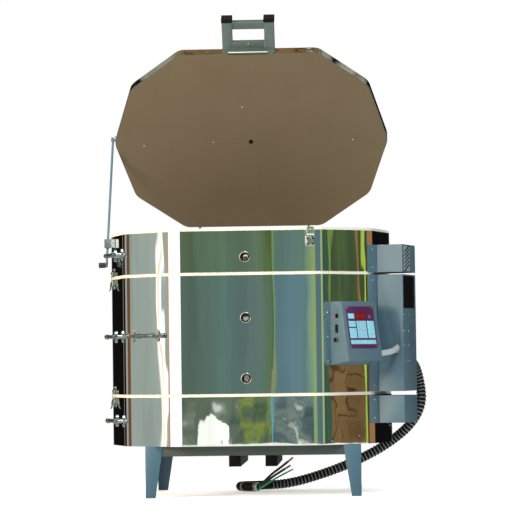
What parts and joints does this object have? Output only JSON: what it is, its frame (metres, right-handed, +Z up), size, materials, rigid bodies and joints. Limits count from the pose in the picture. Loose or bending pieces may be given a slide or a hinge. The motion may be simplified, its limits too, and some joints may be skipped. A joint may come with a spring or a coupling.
{
  "type": "kiln",
  "caption": "Oval top-loading electric kiln: firebrick chamber in stainless jackets on a stand, hinged lid propped open by a brace, wedge controller, wiring boxes and a loose power conduit",
  "frame": {"origin": "on the floor under the middle of the box round the whole kiln, its loose cords apart", "axes": "+Z up, the front with the peepholes faces -Y, the controller is on the +X side"},
  "size_m": [1.268, 0.9234, 1.8821],
  "materials": {
    "firebrick": "matte porous brick",
    "lid_brick": "matte coated brick",
    "stainless": "polished",
    "slate_paint": "satin",
    "dark_paint": "satin",
    "zinc_steel": "plated",
    "element_wire": "oxidised",
    "silver_conduit": "satin",
    "black_plastic": "matte",
    "black_insulation": "satin",
    "green_insulation": "satin",
    "copper": "bright",
    "grip_rubber": "matte",
    "keypad_plastic": "satin",
    "board": "matte",
    "white_ceramic": "glazed",
    "fuse_red": "gloss"
  },
  "bodies": {
    "kiln_body": {"stand_legs": "slate_paint", "stand_rails": "slate_paint", "cross_channels": "dark_paint", "floor_slab": "firebrick", "bottom_bricks": "firebrick", "middle_bricks": "firebrick", "top_bricks": "firebrick", "peephole_bricks": "firebrick", "bottom_jacket": "stainless", "middle_jacket": "stainless", "top_jacket": "stainless", "heating_elements": "element_wire", "thermocouple": "white_ceramic", "handle_grips": "zinc_steel", "handle_saddles": "zinc_steel", "latch_mounts": "zinc_steel", "hasp_leaf": "zinc_steel", "top_box": "slate_paint", "middle_box": "slate_paint", "bottom_box": "slate_paint", "relays": "black_plastic", "terminal_block": "white_ceramic", "controller_case": "slate_paint", "keypad_plate": "keypad_plastic", "circuit_board": "board", "switch_bezel": "black_plastic", "fuse_cap": "fuse_red", "data_port": "black_plastic", "link_conduit": "silver_conduit", "link_rings": "zinc_steel", "power_gland": "black_plastic", "power_conduit": "black_plastic", "wires_black": "black_insulation", "wire_green": "green_insulation", "copper_tips": "copper", "hinge_brackets": "slate_paint", "hinge_rod": "zinc_steel", "guide_bracket": "zinc_steel"},
    "lid": {"lid_slab": "lid_brick", "lid_band": "stainless", "lid_arms": "slate_paint", "arm_caps": "black_plastic", "handle_tray": "slate_paint", "edge_plate": "slate_paint", "lid_straps": "slate_paint", "hasp_catch": "zinc_steel", "brace_stud": "zinc_steel"},
    "brace": {"brace_bar": "slate_paint", "brace_grip": "grip_rubber"},
    "guide": {"guide_block": "zinc_steel"},
    "hasp": {"hasp_strap": "zinc_steel"},
    "rocker": {"power_rocker": "black_plastic"},
    "lever_left_upper": {"latch_lever_left_upper": "zinc_steel"},
    "bail_left_upper": {"latch_bail_left_upper": "zinc_steel"},
    "lever_left_lower": {"latch_lever_left_lower": "zinc_steel"},
    "bail_left_lower": {"latch_bail_left_lower": "zinc_steel"},
    "lever_right_upper": {"latch_lever_right_upper": "zinc_steel"},
    "bail_right_upper": {"latch_bail_right_upper": "zinc_steel"},
    "lever_right_lower": {"latch_lever_right_lower": "zinc_steel"},
    "bail_right_lower": {"latch_bail_right_lower": "zinc_steel"}
  },
  "joints": [
    {"name": "lid_hinge", "type": "hinge", "parent": "kiln_body", "child": "lid", "pos_m": [-0.02609, 0.40402, 1.02015], "axis": [1, 0, 0], "range_deg": [0, 62]},
    {"name": "brace_pivot", "type": "hinge", "parent": "lid", "child": "brace", "pos_m": [-0.58409, 0.24075, 1.41242], "axis": [1, 0, 0], "range_deg": [-31, 0]},
    {"name": "guide_swivel", "type": "hinge", "parent": "kiln_body", "child": "guide", "pos_m": [-0.58409, -0.01898, 0.98015], "axis": [1, 0, 0], "range_deg": [0, 31]},
    {"name": "latch_left_upper", "type": "hinge", "parent": "kiln_body", "child": "lever_left_upper", "pos_m": [-0.56279, -0.08024, 0.8207], "axis": [-0.309, 0.9511, 0], "range_deg": [0, 120]},
    {"name": "bail_left_upper", "type": "hinge", "parent": "lever_left_upper", "child": "bail_left_upper", "pos_m": [-0.56279, -0.08024, 0.8117], "axis": [-0.309, 0.9511, 0], "range_deg": [-120, 0]},
    {"name": "latch_left_lower", "type": "hinge", "parent": "kiln_body", "child": "lever_left_lower", "pos_m": [-0.56279, -0.08024, 0.3635], "axis": [-0.309, 0.9511, 0], "range_deg": [0, 120]},
    {"name": "bail_left_lower", "type": "hinge", "parent": "lever_left_lower", "child": "bail_left_lower", "pos_m": [-0.56279, -0.08024, 0.3545], "axis": [-0.309, 0.9511, 0], "range_deg": [-120, 0]},
    {"name": "latch_right_upper", "type": "hinge", "parent": "kiln_body", "child": "lever_right_upper", "pos_m": [0.47353, 0.1564, 0.8207], "axis": [0.309, -0.9511, 0], "range_deg": [0, 120]},
    {"name": "bail_right_upper", "type": "hinge", "parent": "lever_right_upper", "child": "bail_right_upper", "pos_m": [0.47353, 0.1564, 0.8117], "axis": [0.309, -0.9511, 0], "range_deg": [-120, 0]},
    {"name": "latch_right_lower", "type": "hinge", "parent": "kiln_body", "child": "lever_right_lower", "pos_m": [0.47353, 0.1564, 0.3635], "axis": [0.309, -0.9511, 0], "range_deg": [0, 120]},
    {"name": "bail_right_lower", "type": "hinge", "parent": "lever_right_lower", "child": "bail_right_lower", "pos_m": [0.47353, 0.1564, 0.3545], "axis": [0.309, -0.9511, 0], "range_deg": [-120, 0]},
    {"name": "hasp_hinge", "type": "hinge", "parent": "kiln_body", "child": "hasp", "pos_m": [0.21591, -0.39818, 0.98415], "axis": [1, 0, 0], "range_deg": [0, 160]},
    {"name": "rocker_hinge", "type": "hinge", "parent": "kiln_body", "child": "rocker", "pos_m": [0.31318, -0.39988, 0.63], "axis": [0.5878, -0.809, 0], "range_deg": [0, 18]}
  ],
  "couplings": [
    {"joint": "brace_pivot", "follows": "lid_hinge", "ratio": -0.5},
    {"joint": "guide_swivel", "follows": "lid_hinge", "ratio": 0.5},
    {"joint": "bail_left_upper", "follows": "latch_left_upper", "ratio": -1},
    {"joint": "bail_left_lower", "follows": "latch_left_lower", "ratio": -1},
    {"joint": "bail_right_upper", "follows": "latch_right_upper", "ratio": -1},
    {"joint": "bail_right_lower", "follows": "latch_right_lower", "ratio": -1}
  ]
}
